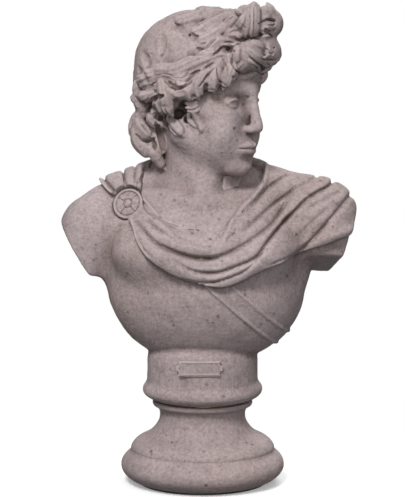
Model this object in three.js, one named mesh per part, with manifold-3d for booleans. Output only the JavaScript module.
// A marble bust on a turned socle: a draped torso block, a head worked for insertion into it,
// and the pins, washers and nuts that hold the stones together and let the bust turn.
// Millimetres, +Z up, the front of the bust faces -Y, origin at the centre of the felt's underside.

import * as THREE from "three";
import { mergeVertices } from "three/addons/utils/BufferGeometryUtils.js";
import Module from "manifold-3d";

const wasm = await Module();
wasm.setup();

// ---- Driving dimensions ----

const GAP = 0.3; // clearance kept between neighbouring pieces

const FELT = { radius: 102, thickness: 3 };
const SOCLE = {
  foot: FELT.thickness + GAP,
  footRadius: 106,
  bulgeRadius: 130,
  bulgeHeight: 27,
  stepRadius: 116,
  stepHeight: 51,
  neckRadius: 67.5,
  neckHeight: 108,
  filletRadius: 79,
  filletFoot: 124,
  top: 132,
  boreRadius: 13,
  recessRadius: 32,
  recessDepth: 45,
};
const BEARING = { radius: 70, thickness: 1.6 };

const DRUM = {
  foot: SOCLE.top + BEARING.thickness + 2 * GAP,
  footRadius: 76,
  torusRadius: 94.5,
  torusHeight: 149,
  radius: 88,
  shoulder: 168,
  top: 224,
};

const STUD = { radius: 10, foot: 11, top: 276, holeRadius: 14, holeTop: 280 };
const HEAD_PIN = { radius: 6, foot: 346, top: 452, x: -2, y: -26 };
const NUT = { acrossFlats: 30, height: 16, lockHeight: 10 };
const WASHER = { radius: 18.5, thickness: 3 };
const SPRING = { radius: 20, thickness: 2 };

// The bowl-shaped lower chest, measured on the finished stone.
const CHEST = { halfWidth: 155, halfDepth: 113, halfHeight: 118, middle: 300 };
// The bowl-shaped tenon under the neck, whose rim is the cloak's neckline.
const TENON = { centre: [-2, -35, 490], radii: [97, 105, 94] };
// Head: eye level is the frame's own origin, the face looks along its -Y.
const HEAD = { centre: [-3, -8, 615], scale: 1.04, yaw: 58, pitch: 3, roll: 3 };

const BROOCH = { x: -114, z: 445, sunk: 2.5, radius: 25, thickness: 9, peg: 4, pegLength: 26 };
const TABLET = { x: -5, z: 197, width: 66, height: 24.5, lug: 3.5, inner: 84.5, outer: 90.5 };

// The cloak's hem: its height on the body at each bearing round the vertical axis, in degrees,
// 0 at the front and positive towards +X.
const HEM = [
  [-180, 335],
  [-150, 355],
  [-120, 420],
  [-98, 462],
  [-75, 466],
  [-58, 446],
  [-46, 408],
  [-31, 352],
  [-12, 331],
  [10, 325],
  [35, 345],
  [58, 368],
  [84, 385],
  [110, 362],
  [145, 338],
  [180, 335],
];
const CLOAK = { thickness: 9 };
const COLLAR_TOP = 500;
// Rounded folds that run round the cloak: how far each lies from the neckline (0) to the hem (1).
const FOLDS = [
  { share: 0.33, radius: 9 },
  { share: 0.66, radius: 9 },
  { share: 0.98, radius: 10 },
];
// The shoulder strap lies in one tilted plane: 0.68 x + 0.73 z = 258.
const STRAP = { across: [0.68, 0, 0.73], offset: 258, halfWidth: 15, height: 4.5 };

// ---- Forms: each returns roughly the distance from a point to its surface ----

const mixed = (a, b, t) => a + (b - a) * t;
const clamp01 = (t) => Math.min(1, Math.max(0, t));
const step = (low, high, v) => {
  const t = clamp01((v - low) / (high - low));
  return t * t * (3 - 2 * t);
};

// An ellipsoid.
function ball(p, c, radii) {
  const r = radii.length ? radii : [radii, radii, radii];
  const x = (p[0] - c[0]) / r[0];
  const y = (p[1] - c[1]) / r[1];
  const z = (p[2] - c[2]) / r[2];
  const k0 = Math.hypot(x, y, z);
  const k1 = Math.hypot(x / r[0], y / r[1], z / r[2]);
  return k1 < 1e-9 ? -Math.min(...r) : (k0 * (k0 - 1)) / k1;
}

// A round limb from a to b, of radius ra at a and rb at b.
function limb(p, a, b, ra, rb) {
  const ab = [b[0] - a[0], b[1] - a[1], b[2] - a[2]];
  const ap = [p[0] - a[0], p[1] - a[1], p[2] - a[2]];
  const along = ab[0] * ap[0] + ab[1] * ap[1] + ab[2] * ap[2];
  const t = clamp01(along / (ab[0] ** 2 + ab[1] ** 2 + ab[2] ** 2));
  const off = Math.hypot(ap[0] - ab[0] * t, ap[1] - ab[1] * t, ap[2] - ab[2] * t);
  return off - mixed(ra, rb, t);
}

// Union and intersection with a soft seam of about k.
function joined(a, b, k) {
  const h = Math.max(k - Math.abs(a - b), 0) / k;
  return Math.min(a, b) - (h * h * k) / 4;
}
const cut = (a, b, k) => -joined(-a, -b, k);

// Both sides of a symmetrical form.
const pair = (p, form) => Math.min(form(p), form([-p[0], p[1], p[2]]));

// How far out along a ray the form's last surface lies.
function outermost(value, reach) {
  let inside = reach;
  while (inside > 1 && value(inside) > 0) inside -= 5;
  let outside = inside + 5;
  for (let n = 0; n < 12; n++) {
    const middle = (inside + outside) / 2;
    if (value(middle) > 0) outside = middle;
    else inside = middle;
  }
  return inside;
}

// The lowest height at which the body's surface lies inside a form, or the collar's own height.
function lowest(value) {
  let z = 405;
  while (z < COLLAR_TOP && value(z) > 0) z += 2;
  return z;
}

// A smooth periodic curve through [degrees, value] stations.
function around(stations, degrees) {
  const last = stations.length - 1;
  let i = 0;
  while (i < last - 1 && stations[i + 1][0] < degrees) i++;
  const at = (n) => stations[(n + last) % last][1];
  const t = (degrees - stations[i][0]) / (stations[i + 1][0] - stations[i][0]);
  const [a, b, c, d] = [at(i - 1), at(i), at(i + 1), at(i + 2)];
  return b + 0.5 * t * (c - a + t * (2 * a - 5 * b + 4 * c - d + t * (3 * (b - c) + d - a)));
}

// ---- The body ----

// Each upper arm runs from the shoulder to an end that its cut plane takes off.
const ARMS = [
  {
    shoulder: [-166, 8, 404],
    end: [-210, 10, 312],
    radii: [53, 46],
    cut: [-0.857, 0.06, -0.514],
    offset: -22,
  },
  {
    shoulder: [174, 6, 410],
    end: [206, 8, 312],
    radii: [55, 48],
    cut: [0.945, 0.04, -0.327],
    offset: 86.7,
  },
];

function bareBody(p) {
  const { halfWidth, halfDepth, halfHeight, middle } = CHEST;
  let d = ball(p, [3, 2, middle], [halfWidth, halfDepth, halfHeight]);
  d = joined(d, ball(p, [2, 2, 385], [150, 106, 92]), 30);
  for (const { shoulder, radii } of ARMS) d = joined(d, ball(p, shoulder, radii[0] + 1), 26);
  d = joined(d, pair(p, (q) => limb(q, [28, 36, 472], [150, 20, 424], 32, 34)), 40);
  d = joined(d, pair(p, (q) => ball(q, [66, -58, 372], [72, 52, 48])), 24);
  d = joined(d, pair(p, (q) => ball(q, [74, 62, 400], [64, 46, 66])), 24);
  return joined(d, limb(p, [-4, 2, 420], [-5, 6, 452], 62, 58), 34);
}

const bearingOf = (x, y) => THREE.MathUtils.radToDeg(Math.atan2(x, -y));

function cloakOver(p, body) {
  const fromHem = p[2] - around(HEM, bearingOf(p[0], p[1]));
  return body - CLOAK.thickness * step(-9, 3, fromHem);
}

const torsoField = (p) => cloakOver(p, bareBody(p));

// ---- The head ----

const headTurn = new THREE.Matrix4().makeRotationFromEuler(
  new THREE.Euler(
    THREE.MathUtils.degToRad(HEAD.pitch),
    THREE.MathUtils.degToRad(HEAD.roll),
    THREE.MathUtils.degToRad(HEAD.yaw),
    "ZXY",
  ),
);
const headFrame = new THREE.Matrix4()
  .makeTranslation(...HEAD.centre)
  .multiply(headTurn)
  .multiply(new THREE.Matrix4().makeScale(HEAD.scale, HEAD.scale, HEAD.scale));
const toHead = headFrame.clone().invert();

function skullAndFace(q) {
  let d = ball(q, [0, 12, 34], [76, 96, 82]);
  d = joined(d, ball(q, [0, -30, -30], [60, 58, 78]), 24);
  d = joined(d, pair(q, (s) => limb(s, [48, -6, -66], [14, -76, -96], 18, 17)), 22);
  d = joined(d, pair(q, (s) => limb(s, [36, -68, -18], [62, -28, -10], 14, 13)), 18);
  d = joined(d, limb(q, [0, -84, 6], [0, -106, -38], 8, 10), 14);
  d = joined(d, ball(q, [0, -82, -68], [26, 20, 16]), 12);
  return joined(d, ball(q, [0, -84, -96], [17, 15, 15]), 14);
}

// The close cap of hair.
const hairCap = (q) => joined(ball(q, [0, 16, 40], [83, 100, 87]), ball(q, [0, 62, -6], [62, 46, 56]), 20);

// Locks standing out of the cap, on both sides of the head: centre, radii and tilt in degrees.
const LOCKS = [
  { at: [20, -96, 82], radii: [25, 17, 16], tilt: 12 },
  { at: [24, -84, 115], radii: [28, 21, 25], tilt: 24 },
  { at: [46, -72, 76], radii: [22, 22, 18], tilt: 40 },
  { at: [68, -48, 56], radii: [19, 24, 20], tilt: 60 },
  { at: [80, -20, 32], radii: [17, 23, 24], tilt: 70 },
  { at: [82, 10, 2], radii: [16, 24, 25], tilt: 10 },
  { at: [72, 42, -22], radii: [20, 25, 24], tilt: 0 },
  { at: [48, 70, -48], radii: [25, 25, 26], tilt: 0 },
  { at: [18, 82, -66], radii: [25, 22, 24], tilt: 0 },
];

const headPoint = new THREE.Vector3();
function headField(p) {
  headPoint.set(...p).applyMatrix4(toHead);
  const q = headPoint.toArray();
  let d = joined(skullAndFace(q), hairCap(q), 6) * HEAD.scale;
  d = joined(d, limb(p, [-8, 4, 570], [-4, 0, 458], 56, 57), 22);
  const tenon = cut(bareBody(p), ball(p, TENON.centre, TENON.radii), 2);
  return joined(d, tenon, 8);
}

// ---- Solids ----

// A capsule round the line from foot to top, each of its points moved out to the field's surface.
function wrapped(field, { foot, top, radial, rows, cap, reach = 330, inflate = 0 }) {
  const g = new THREE.CapsuleGeometry(1, 2, cap, radial, rows).rotateX(Math.PI / 2);
  const at = g.getAttribute("position");
  const low = new THREE.Vector3(...foot);
  const high = new THREE.Vector3(...top);
  const v = new THREE.Vector3();
  for (let i = 0; i < at.count; i++) {
    v.fromBufferAttribute(at, i);
    const z = Math.min(1, Math.max(-1, v.z));
    const from = low.clone().lerp(high, (z + 1) / 2);
    const way = v.set(v.x, v.y, v.z - z).normalize().clone();
    const value = (r) => field([from.x + way.x * r, from.y + way.y * r, from.z + way.z * r]) - inflate;
    v.copy(from).addScaledVector(way, outermost(value, reach));
    at.setXYZ(i, v.x, v.y, v.z);
  }
  return g;
}

// A closed geometry as a manifold-3d solid, and back.
function solid(geometry) {
  const g = new THREE.BufferGeometry();
  g.setAttribute("position", geometry.getAttribute("position"));
  if (geometry.index) g.setIndex(geometry.index);
  const merged = mergeVertices(g, 1e-4);
  const kept = [];
  for (let i = 0; i < merged.index.count; i += 3) {
    const [a, b, c] = [0, 1, 2].map((n) => merged.index.getX(i + n));
    if (a !== b && b !== c && a !== c) kept.push(a, b, c);
  }
  return new wasm.Manifold(
    new wasm.Mesh({
      numProp: 3,
      vertProperties: merged.getAttribute("position").array,
      triVerts: new Uint32Array(kept),
    }),
  );
}

function geometryOf(made) {
  const m = made.getMesh();
  const g = new THREE.BufferGeometry();
  g.setAttribute("position", new THREE.BufferAttribute(new Float32Array(m.vertProperties), 3));
  g.setIndex(new THREE.BufferAttribute(new Uint32Array(m.triVerts), 1));
  g.computeVertexNormals();
  return g;
}

// A solid of revolution about +Z from [radius, height] points, closed on itself or on the axis.
function turned(profile, segments = 48) {
  const points = profile.map(([r, z]) => new THREE.Vector2(r, z));
  return new THREE.LatheGeometry(points, segments).rotateX(Math.PI / 2);
}

// Points of a quarter turn or less, from angle a to b in degrees, round a centre.
function arc([r, z], [width, height], a, b, steps = 5) {
  return Array.from({ length: steps + 1 }, (_, i) => {
    const angle = THREE.MathUtils.degToRad(mixed(a, b, i / steps));
    return [r + width * Math.cos(angle), z + height * Math.sin(angle)];
  });
}

// A washer, bush or sleeve: a ring between two radii and two heights.
function ring(inner, outer, foot, top, segments = 32) {
  return turned(
    [
      [inner, foot],
      [outer, foot],
      [outer, top],
      [inner, top],
      [inner, foot],
    ],
    segments,
  );
}

// A rod along +Z with small chamfers on both ends.
function rod(radius, foot, top, segments = 24, chamfer = 1) {
  return turned(
    [
      [0, foot],
      [radius - chamfer, foot],
      [radius, foot + chamfer],
      [radius, top - chamfer],
      [radius - chamfer, top],
      [0, top],
    ],
    segments,
  );
}

const moved = (g, x, y, z) => g.translate(x, y, z);

// ---- Socle and its fittings ----

function socle() {
  const s = SOCLE;
  const seat = s.foot + s.recessDepth;
  const outline = [
    [s.boreRadius, seat],
    [s.recessRadius, seat],
    [s.recessRadius, s.foot],
    [s.footRadius, s.foot],
    ...arc([s.footRadius, s.bulgeHeight], [24, s.bulgeHeight - s.foot], -80, 0, 5),
    ...arc([s.footRadius, s.bulgeHeight], [24, 25], 14, 62, 3),
    [s.stepRadius - 2, s.stepHeight],
    [s.stepRadius - 3, s.stepHeight + 2],
    ...arc([90, s.stepHeight], [23, 22], 22, 76, 3),
    ...arc([104, s.neckHeight], [104 - s.neckRadius, 33], 248, 180, 5),
    [s.neckRadius + 2, s.filletFoot - 4],
    [s.filletRadius - 3, s.filletFoot],
    [s.filletRadius, s.filletFoot + 2],
    [s.filletRadius, s.top - 3],
    [s.filletRadius - 3, s.top],
    [s.boreRadius, s.top],
    [s.boreRadius, seat],
  ];
  return turned(outline, 32);
}

const feltPad = () =>
  turned(
    [
      [0, 0],
      [FELT.radius, 0],
      [FELT.radius, FELT.thickness],
      [0, FELT.thickness],
    ],
    40,
  );
const studBush = () =>
  ring(STUD.radius + GAP, SOCLE.boreRadius - GAP, SOCLE.foot + SOCLE.recessDepth, SOCLE.top - GAP);
const bearingWasher = () => {
  const foot = SOCLE.top + GAP;
  return ring(STUD.radius + GAP, BEARING.radius, foot, foot + BEARING.thickness, 40);
};

// ---- Stud, washers and nuts, stacked down from the seat in the socle's recess ----

const SEAT = SOCLE.foot + SOCLE.recessDepth;
const washerFoot = SEAT - GAP - WASHER.thickness;
const springFoot = washerFoot - GAP - SPRING.thickness;
const nutFoot = springFoot - GAP - NUT.height;
const lockNutFoot = nutFoot - GAP - NUT.lockHeight;

const stud = () => rod(STUD.radius, STUD.foot, STUD.top, 28);
const studResin = () =>
  ring(STUD.radius + GAP, STUD.holeRadius - GAP, DRUM.foot + 1, STUD.top - 2, 28);
const plainWasher = () => ring(STUD.radius + GAP, WASHER.radius, washerFoot, washerFoot + WASHER.thickness);

function discSpring() {
  const cone = 1;
  return turned(
    [
      [STUD.radius + GAP, springFoot + cone / 2],
      [SPRING.radius, springFoot],
      [SPRING.radius, springFoot + SPRING.thickness - cone / 2],
      [STUD.radius + GAP, springFoot + SPRING.thickness],
      [STUD.radius + GAP, springFoot + cone / 2],
    ],
    32,
  );
}

function hexNut(foot, height) {
  const hex = new THREE.Shape();
  const corner = NUT.acrossFlats / Math.sqrt(3);
  for (let i = 0; i < 6; i++) {
    const a = (i * Math.PI) / 3;
    hex[i ? "lineTo" : "moveTo"](corner * Math.cos(a), corner * Math.sin(a));
  }
  hex.closePath();
  hex.holes.push(new THREE.Path().absarc(0, 0, STUD.radius + GAP, 0, Math.PI * 2, true));
  const prism = new THREE.ExtrudeGeometry(hex, { depth: height, bevelEnabled: false, curveSegments: 24 });
  const chamfer = turned(
    [
      [0, 0],
      [corner - 2, 0],
      [corner, 2],
      [corner, height - 2],
      [corner - 2, height],
      [0, height],
    ],
    24,
  );
  return moved(geometryOf(solid(prism).intersect(solid(chamfer))), 0, 0, foot);
}

// ---- Applied pieces ----

// A frame on the cloak's surface whose +Z is the brooch's outward normal.
const broochDepth = outermost((y) => torsoField([BROOCH.x, -y, BROOCH.z]), 160);
const broochFrame = new THREE.Matrix4()
  .makeTranslation(BROOCH.x, BROOCH.sunk - broochDepth, BROOCH.z)
  .multiply(
    new THREE.Matrix4().makeRotationFromQuaternion(
      new THREE.Quaternion().setFromUnitVectors(
        new THREE.Vector3(0, 0, 1),
        new THREE.Vector3(-0.34, -0.86, 0.38).normalize(),
      ),
    ),
  );

function brooch() {
  const { radius: r, thickness: h } = BROOCH;
  const disc = turned(
    [
      [0, 0],
      [r - 2, 0],
      [r, 2],
      [r, h - 2],
      [r - 1.5, h],
      [r - 4, h],
      [r - 5, h - 1.5],
      [6.5, h - 1.5],
      [4.5, h + 1],
      [0, h + 1.8],
    ],
    30,
  );
  let made = solid(disc);
  for (let i = 0; i < 5; i++) {
    const spoke = new THREE.BoxGeometry(r - 6, 2.2, 2.6)
      .translate(r / 2, 0, h - 1.1)
      .rotateZ((i * Math.PI * 2) / 5);
    made = made.add(solid(spoke));
  }
  made = made.subtract(solid(rod(BROOCH.peg + GAP, -1, 5, 16, 0.3)));
  return geometryOf(made).applyMatrix4(broochFrame);
}

const broochPeg = () => rod(BROOCH.peg, 4.4 - BROOCH.pegLength, 4.4, 16).applyMatrix4(broochFrame);
const broochSeat = () =>
  turned(
    [
      [0, -0.4],
      [BROOCH.radius + 0.6, -0.4],
      [BROOCH.radius + 6, 40],
      [0, 40],
    ],
    30,
  ).applyMatrix4(broochFrame);
const broochPegHole = () =>
  rod(BROOCH.peg + GAP, 3.6 - BROOCH.pegLength, 8, 16, 0.3).applyMatrix4(broochFrame);

// The tablet's outline, with an eared lug at each end, seen from the front.
function tabletOutline(grow) {
  const w = TABLET.width / 2 + grow;
  const h = TABLET.height / 2 + grow;
  const lug = TABLET.lug;
  const right = [
    [w - lug, h],
    [w, h],
    [w - 1, h * 0.55],
    [w + lug, h * 0.3],
    [w + lug, -h * 0.3],
    [w - 1, -h * 0.55],
    [w, -h],
  ];
  const left = right.map(([x, z]) => [-x, -z]);
  return new THREE.Shape([...right, ...left].map(([x, z]) => new THREE.Vector2(x, z)).reverse());
}

function tabletBlock(inner, outer, grow) {
  const slab = new THREE.ExtrudeGeometry(tabletOutline(grow), { depth: 40, bevelEnabled: false })
    .translate(TABLET.x, TABLET.z, 70)
    .rotateX(Math.PI / 2);
  const half = TABLET.height;
  return solid(slab).intersect(solid(ring(inner, outer, TABLET.z - half, TABLET.z + half, 36)));
}

const nameTablet = () =>
  geometryOf(tabletBlock(TABLET.inner, TABLET.outer, 0).subtract(tabletPinHoles()));

// Two small pins behind the tablet, pointing into the drum.
const TABLET_PIN = { radius: 2, spread: 24, length: 16, into: 4 };
function tabletPin(side, radius = TABLET_PIN.radius, extra = 0) {
  const outer = TABLET.inner + TABLET_PIN.into;
  return rod(radius, -TABLET_PIN.length - extra, extra, 12, 0.3)
    .rotateX(Math.PI / 2)
    .translate(TABLET.x + side * TABLET_PIN.spread, -outer + 5, TABLET.z);
}
const tabletPinHoles = () =>
  solid(tabletPin(-1, TABLET_PIN.radius + GAP, 0.6)).add(solid(tabletPin(1, TABLET_PIN.radius + GAP, 0.6)));

// ---- The two carved blocks ----

// A copy with its faces turned over, to set a mirrored form right.
function mirrored(g) {
  const index = Array.from(g.index.array);
  for (let i = 0; i < index.length; i += 3) [index[i], index[i + 1]] = [index[i + 1], index[i]];
  return g.setIndex(index);
}

const TORSO_WRAP = { foot: [0, 0, 250], top: [0, 4, 405], radial: 44, rows: 14, cap: 8 };
const HEAD_WRAP = { foot: [-2, -26, 452], top: [-2, -4, 632], radial: 34, rows: 13, cap: 7 };

// An upper arm, cut off by its plane.
function arm({ shoulder, end, radii, cut: normal, offset }) {
  const size = 1200;
  const towards = new THREE.Vector3(...normal).normalize();
  const cutter = new THREE.BoxGeometry(size, size, size)
    .translate(size / 2, 0, 0)
    .applyQuaternion(new THREE.Quaternion().setFromUnitVectors(new THREE.Vector3(1, 0, 0), towards))
    .translate(...towards.clone().multiplyScalar(offset).toArray());
  const field = (p) => cloakOver(p, limb(p, shoulder, end, ...radii));
  const whole = wrapped(field, { foot: end, top: shoulder, radial: 16, rows: 2, cap: 3, reach: 80 });
  return solid(whole).subtract(solid(cutter));
}

function drum() {
  const d = DRUM;
  return turned(
    [
      [0, d.foot],
      [d.footRadius, d.foot],
      ...arc([d.radius - 7, d.torusHeight], [d.torusRadius - d.radius + 7, 12], -62, 52, 4),
      [d.radius, d.shoulder - 4],
      [d.radius, d.top - 20],
      [d.radius - 10, d.top],
      [0, d.top],
    ],
    36,
  );
}

const headRod = (grow, chamfer) =>
  rod(HEAD_PIN.radius + grow, HEAD_PIN.foot - 3 * grow, HEAD_PIN.top + 3 * grow, 20, chamfer)
    .translate(HEAD_PIN.x, HEAD_PIN.y, 0);
const headPinHole = () => headRod(GAP, 0.3);

function lock({ at, radii, tilt }, side) {
  return new THREE.SphereGeometry(1, 8, 6)
    .scale(...radii)
    .rotateY(THREE.MathUtils.degToRad(tilt))
    .translate(...at)
    .applyMatrix4(new THREE.Matrix4().makeScale(side, 1, 1))
    .applyMatrix4(headFrame);
}

function head() {
  let made = solid(wrapped(headField, HEAD_WRAP));
  for (const one of LOCKS) made = made.add(solid(lock(one, 1))).add(solid(mirrored(lock(one, -1))));
  return geometryOf(made.subtract(solid(headPinHole())));
}

// A ring of cloth that follows the cloak round the body at one share of its width.
function fold({ share, radius }) {
  const stations = 34;
  const path = Array.from({ length: stations }, (_, i) => {
    const bearing = -180 + (i * 360) / stations;
    const way = [Math.sin(THREE.MathUtils.degToRad(bearing)), -Math.cos(THREE.MathUtils.degToRad(bearing))];
    const onSurface = (z) => outermost((r) => torsoField([way[0] * r, way[1] * r, z]), 250);
    const pointAt = (z) => [way[0] * onSurface(z), way[1] * onSurface(z), z];
    const neckline = lowest((z) => ball(pointAt(z), TENON.centre, TENON.radii));
    const z = mixed(neckline, around(HEM, bearing), share);
    const r = onSurface(z) - radius / 3;
    return new THREE.Vector3(way[0] * r, way[1] * r, z);
  });
  return new THREE.TubeGeometry(new THREE.CatmullRomCurve3(path, true), stations, radius, 5, true);
}

// The shoulder strap: a slab across the body, cut to stand just proud of the bare stone.
function strap() {
  const size = 500;
  const [a, , c] = STRAP.across;
  const slab = new THREE.BoxGeometry(size, size, 2 * STRAP.halfWidth)
    .rotateY(Math.atan2(a, c))
    .translate(a * STRAP.offset, 0, c * STRAP.offset);
  const skin = wrapped(bareBody, { ...TORSO_WRAP, inflate: STRAP.height });
  return solid(skin).intersect(solid(slab));
}

function torso() {
  const socket = solid(wrapped(headField, { ...HEAD_WRAP, inflate: 0.7 }));
  const tenonRoom = solid(
    new THREE.SphereGeometry(1, 28, 18)
      .scale(...TENON.radii.map((r) => r + 0.4))
      .translate(...TENON.centre),
  );
  let block = solid(wrapped(torsoField, TORSO_WRAP)).add(strap()).add(solid(drum()));
  for (const one of ARMS) block = block.add(arm(one));
  for (const one of FOLDS) block = block.add(solid(fold(one)));
  return geometryOf(
    block
      .subtract(tenonRoom)
      .subtract(socket)
      .subtract(solid(rod(STUD.holeRadius, DRUM.foot - 5, STUD.holeTop, 28, 0.3)))
      .subtract(solid(headPinHole()))
      .subtract(tabletBlock(TABLET.inner - GAP, TABLET.outer + 20, GAP))
      .subtract(tabletPinHoles())
      .subtract(solid(broochSeat()))
      .subtract(solid(broochPegHole())),
  );
}

// ---- Materials and assembly ----

const finish = (color, roughness, metalness = 0) =>
  new THREE.MeshStandardMaterial({ color, roughness, metalness });
const MARBLE = finish(0x9f908c, 0.85);
const STEEL = finish(0xb9bcc0, 0.35, 1);
const BRASS = finish(0xb59a55, 0.4, 1);
const RESIN = finish(0xb8ad98, 0.6);
const FELT_CLOTH = finish(0x3c3f3a, 0.95);

const bust = new THREE.Group();
function add(name, geometry, material, group = bust) {
  const mesh = new THREE.Mesh(geometry, material);
  mesh.name = name;
  group.add(mesh);
}

const base = new THREE.Group();
const figure = new THREE.Group();
bust.add(base, figure);

add("felt_pad", feltPad(), FELT_CLOTH, base);
add("socle", socle(), MARBLE, base);
add("stud_bush", studBush(), BRASS, base);
add("bearing_washer", bearingWasher(), BRASS, base);

add("torso", torso(), MARBLE, figure);
add("head", head(), MARBLE, figure);
add("head_pin", headRod(0, 1), STEEL, figure);
add("brooch", brooch(), MARBLE, figure);
add("brooch_peg", broochPeg(), STEEL, figure);
add("name_tablet", nameTablet(), MARBLE, figure);
add("tablet_pin_left", tabletPin(-1), STEEL, figure);
add("tablet_pin_right", tabletPin(1), STEEL, figure);
add("stud", stud(), STEEL, figure);
add("stud_resin", studResin(), RESIN, figure);
add("plain_washer", plainWasher(), STEEL, figure);
add("disc_spring", discSpring(), STEEL, figure);
add("nut", hexNut(nutFoot, NUT.height), STEEL, figure);
add("lock_nut", hexNut(lockNutFoot, NUT.lockHeight), STEEL, figure);

export default bust;
